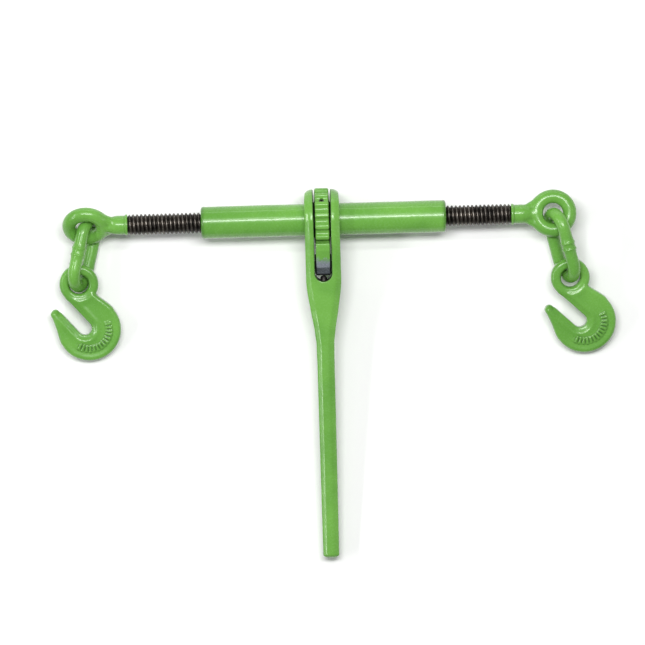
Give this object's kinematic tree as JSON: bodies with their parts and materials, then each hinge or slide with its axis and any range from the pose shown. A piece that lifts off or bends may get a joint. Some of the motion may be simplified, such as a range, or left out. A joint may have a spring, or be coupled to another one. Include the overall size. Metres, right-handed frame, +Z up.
{
  "type": "ratchet load binder",
  "caption": "Ratchet load binder: a threaded barrel with a forked ratchet handle, eye screws, links and grab hooks for tightening cargo chains.",
  "frame": {"origin": "on the floor under the middle of the whole binder's bounding box, with the binder lying on its side", "axes": "+X along the barrel towards the eye screw with the flat ring, +Y from the handle's end towards the barrel, +Z up"},
  "size_m": [0.5876, 0.3851, 0.066],
  "materials": {
    "barrel_paint": "gloss enamel over forged steel",
    "gear_paint": "gloss enamel over forged steel",
    "handle_paint": "gloss enamel over forged steel",
    "pawl_paint": "gloss enamel over forged steel",
    "screw_paint": "gloss enamel over forged steel",
    "link_paint": "gloss enamel over forged steel",
    "hook_paint": "gloss enamel over forged steel",
    "bright_steel": "plain steel",
    "dark_steel": "oiled dark steel",
    "spring_steel": "spring wire"
  },
  "bodies": {
    "barrel": {"barrel": "barrel_paint", "ratchet_gear": "gear_paint", "gear_roll_pin": "bright_steel"},
    "handle": {"handle": "handle_paint", "pawl_pin": "bright_steel", "detent_spring": "spring_steel"},
    "pawl": {"pawl": "pawl_paint"},
    "detent_plunger": {"detent_plunger": "dark_steel"},
    "left_stop_ring": {"left_stop_ring": "dark_steel"},
    "left_eye_screw": {"left_eye_screw": "screw_paint"},
    "left_link": {"left_link": "link_paint"},
    "left_hook": {"left_hook": "hook_paint"},
    "right_stop_ring": {"right_stop_ring": "dark_steel"},
    "right_eye_screw": {"right_eye_screw": "screw_paint"},
    "right_link": {"right_link": "link_paint"},
    "right_hook": {"right_hook": "hook_paint"}
  },
  "joints": [
    {"name": "handle_swing", "type": "hinge", "parent": "barrel", "child": "handle", "pos_m": [-0.00919, 0.15957, 0.033], "axis": [1, 0, 0], "continuous": true},
    {"name": "pawl_flip", "type": "hinge", "parent": "handle", "child": "pawl", "pos_m": [-0.00919, 0.11268, 0.02984], "axis": [1, 0, 0], "range_deg": [-6, 6]},
    {"name": "detent_press", "type": "slide", "parent": "handle", "child": "detent_plunger", "axis": [0, 0.9977, 0.0671], "range_m": [-0.0025, 0], "stiffness_N_per_m": 1200, "springref_m": 0.004, "deforming": ["detent_spring"]},
    {"name": "left_screw_turn", "type": "hinge", "parent": "left_stop_ring", "child": "left_eye_screw", "pos_m": [-0.25429, 0.15957, 0.033], "axis": [1, 0, 0], "range_deg": [-6480, 2160]},
    {"name": "left_screw_feed", "type": "slide", "parent": "barrel", "child": "left_stop_ring", "axis": [-1, 0, 0], "range_m": [-0.07625, 0.02545]},
    {"name": "right_screw_turn", "type": "hinge", "parent": "right_stop_ring", "child": "right_eye_screw", "pos_m": [0.23044, 0.15957, 0.033], "axis": [1, 0, 0], "range_deg": [-5760, 2880]},
    {"name": "right_screw_feed", "type": "slide", "parent": "barrel", "child": "right_stop_ring", "axis": [1, 0, 0], "range_m": [-0.06778, 0.03392]},
    {"name": "left_link_swing", "type": "hinge", "parent": "left_eye_screw", "child": "left_link", "pos_m": [-0.25429, 0.15957, 0.033], "axis": [0, -0.7314, 0.682], "range_deg": [-170, 34]},
    {"name": "right_link_swing", "type": "hinge", "parent": "right_eye_screw", "child": "right_link", "pos_m": [0.23044, 0.15957, 0.033], "axis": [0, 0, 1], "range_deg": [-40, 170]},
    {"name": "left_hook_swing", "type": "hinge", "parent": "left_link", "child": "left_hook", "pos_m": [-0.26369, 0.09987, 0.0194], "axis": [0.0286, -0.1433, 0.9893], "range_deg": [-100, 60]},
    {"name": "right_hook_swing", "type": "hinge", "parent": "right_link", "child": "right_hook", "pos_m": [0.24694, 0.09277, 0.023], "axis": [0.0552, -0.1827, 0.9816], "range_deg": [-80, 80]}
  ],
  "couplings": [
    {"joint": "left_screw_feed", "follows": "left_screw_turn", "m_per_rad": 0.00067375},
    {"joint": "right_screw_feed", "follows": "right_screw_turn", "m_per_rad": 0.00067375}
  ]
}
